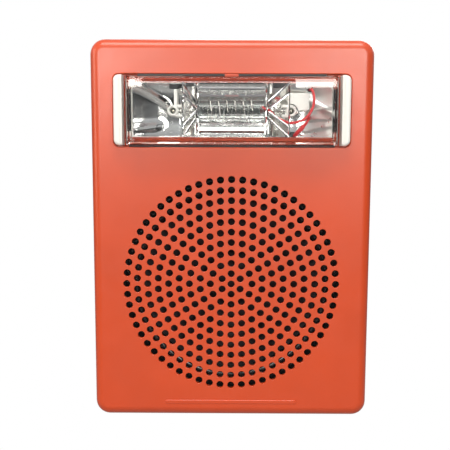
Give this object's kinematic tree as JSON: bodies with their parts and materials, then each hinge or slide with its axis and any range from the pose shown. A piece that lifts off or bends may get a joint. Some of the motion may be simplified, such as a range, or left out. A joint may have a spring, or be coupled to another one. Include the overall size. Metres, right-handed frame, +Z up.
{
  "type": "speaker strobe",
  "caption": "Wall speaker strobe: red moulded cover with a round perforated grille over a cone loudspeaker, and a clear lensed xenon strobe bar above it.",
  "frame": {"origin": "middle of the cover's outline, in the plane of the wall that the unit is mounted on", "axes": "+X to the right as seen from the front, -Y out of the wall towards the viewer, +Z up"},
  "size_m": [0.121, 0.0523, 0.165],
  "materials": {
    "cover_plastic": "satin moulded polycarbonate",
    "chassis_plastic": "fine moulded texture",
    "cream_plastic": "satin moulded",
    "clear_lens": "clear moulded polycarbonate",
    "mirror_film": "vacuum metallised plastic",
    "tube_glass": "clear borosilicate",
    "zinc_steel": "zinc plated",
    "basket_steel": "black enamel",
    "ferrite": "matt sintered",
    "foam": "closed cell foam",
    "surround_rubber": "glossy coated",
    "cone_paper": "pulp",
    "spider_cloth": "resin dipped weave",
    "copper_wire": "enamelled copper winding",
    "phenolic": "laminate",
    "brass_part": "stamped",
    "board_laminate": "solder mask",
    "black_part": "moulded",
    "capacitor_sleeve": "shrink sleeve",
    "core_steel": "varnished laminations",
    "winding_tape": "polyester tape",
    "red_lead": "insulated lead",
    "black_lead": "insulated lead",
    "spring_wire": "fine nickel wire"
  },
  "bodies": {
    "chassis": {"mounting_plate": "chassis_plastic", "speaker_basket": "basket_steel", "speaker_gasket": "foam", "surround": "surround_rubber", "spider": "spider_cloth", "top_plate": "zinc_steel", "magnet": "ferrite", "yoke": "zinc_steel", "speaker_terminal_strip": "phenolic", "strobe_tray": "cover_plastic", "lens_clip_left": "cream_plastic", "lens_clip_right": "cream_plastic", "return_lead": "red_lead", "lead_grommet": "black_part", "strobe_lens": "clear_lens", "reflector": "mirror_film", "flash_tube": "tube_glass", "tube_electrode_left": "zinc_steel", "tube_electrode_right": "zinc_steel", "tube_terminal_left": "brass_part", "tube_terminal_right": "brass_part", "trigger_wire": "spring_wire", "trigger_lead": "red_lead", "main_board": "board_laminate", "flash_capacitor": "capacitor_sleeve", "trigger_coil": "winding_tape", "inductor": "copper_wire", "power_transistor": "black_part", "controller_chip": "black_part", "candela_switch_body": "black_part", "tap_selector_body": "black_part", "terminal_block": "black_part", "transformer_core": "core_steel", "transformer_winding": "winding_tape", "speaker_lead_red": "red_lead", "speaker_lead_black": "black_lead", "board_lead_red": "red_lead", "board_lead_black": "black_lead", "speaker_screw_1": "zinc_steel", "board_screw_1": "zinc_steel", "speaker_screw_2": "zinc_steel", "board_screw_2": "zinc_steel", "speaker_screw_3": "zinc_steel", "board_screw_3": "zinc_steel", "speaker_screw_4": "zinc_steel", "board_screw_4": "zinc_steel"},
    "cover": {"front_cover": "cover_plastic"},
    "cone_assembly": {"cone": "cone_paper", "dust_cap": "cone_paper", "voice_coil": "copper_wire"},
    "candela_slider": {"candela_switch_slider": "cream_plastic"},
    "tap_knob": {"tap_selector_knob": "cream_plastic"},
    "terminal_screw_1": {"terminal_screw_1": "zinc_steel"},
    "terminal_clamp_1": {"terminal_clamp_1": "brass_part"},
    "terminal_screw_2": {"terminal_screw_2": "zinc_steel"},
    "terminal_clamp_2": {"terminal_clamp_2": "brass_part"},
    "terminal_screw_3": {"terminal_screw_3": "zinc_steel"},
    "terminal_clamp_3": {"terminal_clamp_3": "brass_part"},
    "terminal_screw_4": {"terminal_screw_4": "zinc_steel"},
    "terminal_clamp_4": {"terminal_clamp_4": "brass_part"}
  },
  "joints": [
    {"name": "cover_release", "type": "slide", "parent": "chassis", "child": "cover", "axis": [0, -1, 0], "range_m": [0, 0.05]},
    {"name": "cone_travel", "type": "slide", "parent": "chassis", "child": "cone_assembly", "axis": [0, -1, 0], "range_m": [-0.001, 0.001], "stiffness_N_per_m": 2000, "deforming": ["surround", "spider"]},
    {"name": "candela_select", "type": "slide", "parent": "chassis", "child": "candela_slider", "axis": [1, 0, 0], "range_m": [0, 0.0075]},
    {"name": "tap_select", "type": "hinge", "parent": "chassis", "child": "tap_knob", "pos_m": [0.04, 0.003, -0.0224], "axis": [0, -1, 0], "range_deg": [0, 180]},
    {"name": "screw_turn_1", "type": "hinge", "parent": "chassis", "child": "terminal_screw_1", "pos_m": [-0.01425, 0.0117, 0.0168], "axis": [0, -1, 0], "range_deg": [0, 1440]},
    {"name": "clamp_rise_1", "type": "slide", "parent": "chassis", "child": "terminal_clamp_1", "axis": [0, 1, 0], "range_m": [0, 0.0024]},
    {"name": "screw_turn_2", "type": "hinge", "parent": "chassis", "child": "terminal_screw_2", "pos_m": [-0.00475, 0.0117, 0.0168], "axis": [0, -1, 0], "range_deg": [0, 1440]},
    {"name": "clamp_rise_2", "type": "slide", "parent": "chassis", "child": "terminal_clamp_2", "axis": [0, 1, 0], "range_m": [0, 0.0024]},
    {"name": "screw_turn_3", "type": "hinge", "parent": "chassis", "child": "terminal_screw_3", "pos_m": [0.00475, 0.0117, 0.0168], "axis": [0, -1, 0], "range_deg": [0, 1440]},
    {"name": "clamp_rise_3", "type": "slide", "parent": "chassis", "child": "terminal_clamp_3", "axis": [0, 1, 0], "range_m": [0, 0.0024]},
    {"name": "screw_turn_4", "type": "hinge", "parent": "chassis", "child": "terminal_screw_4", "pos_m": [0.01425, 0.0117, 0.0168], "axis": [0, -1, 0], "range_deg": [0, 1440]},
    {"name": "clamp_rise_4", "type": "slide", "parent": "chassis", "child": "terminal_clamp_4", "axis": [0, 1, 0], "range_m": [0, 0.0024]}
  ],
  "couplings": [
    {"joint": "screw_turn_1", "follows": "clamp_rise_1", "rad_per_m": 10472},
    {"joint": "screw_turn_2", "follows": "clamp_rise_2", "rad_per_m": 10472},
    {"joint": "screw_turn_3", "follows": "clamp_rise_3", "rad_per_m": 10472},
    {"joint": "screw_turn_4", "follows": "clamp_rise_4", "rad_per_m": 10472}
  ]
}
